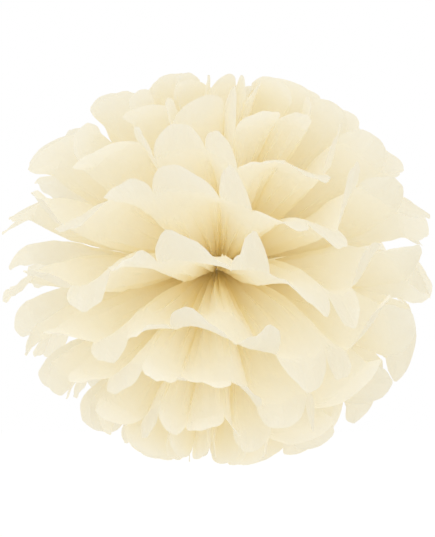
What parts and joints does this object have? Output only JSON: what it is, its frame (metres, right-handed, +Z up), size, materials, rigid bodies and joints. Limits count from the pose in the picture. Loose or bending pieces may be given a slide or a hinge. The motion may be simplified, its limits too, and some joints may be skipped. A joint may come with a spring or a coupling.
{
  "type": "tissue paper pom pom",
  "caption": "Hanging ball of cream tissue paper: pleated sheets tied at the middle, cut to round petals and fanned open.",
  "frame": {"origin": "middle of the tie, where the pleated sheets are gathered and the ball is hung from", "axes": "+Z up, the way the ball hangs and the way the upper sheets are drawn; the pleats run through the tie along Y, and the front fans open towards -Y"},
  "size_m": [0.3397, 0.3427, 0.3066],
  "materials": {
    "tissue": "matt cream tissue that light shines through",
    "wire": "cream paper-covered florist's wire"
  },
  "bodies": {
    "root": {"tissue_sheet_01": "tissue", "tissue_sheet_02": "tissue", "tissue_sheet_03": "tissue", "tissue_sheet_04": "tissue", "tissue_sheet_05": "tissue", "tissue_sheet_06": "tissue", "tissue_sheet_07": "tissue", "tissue_sheet_08": "tissue", "tissue_sheet_09": "tissue", "tie_wire": "wire"}
  },
  "joints": []
}
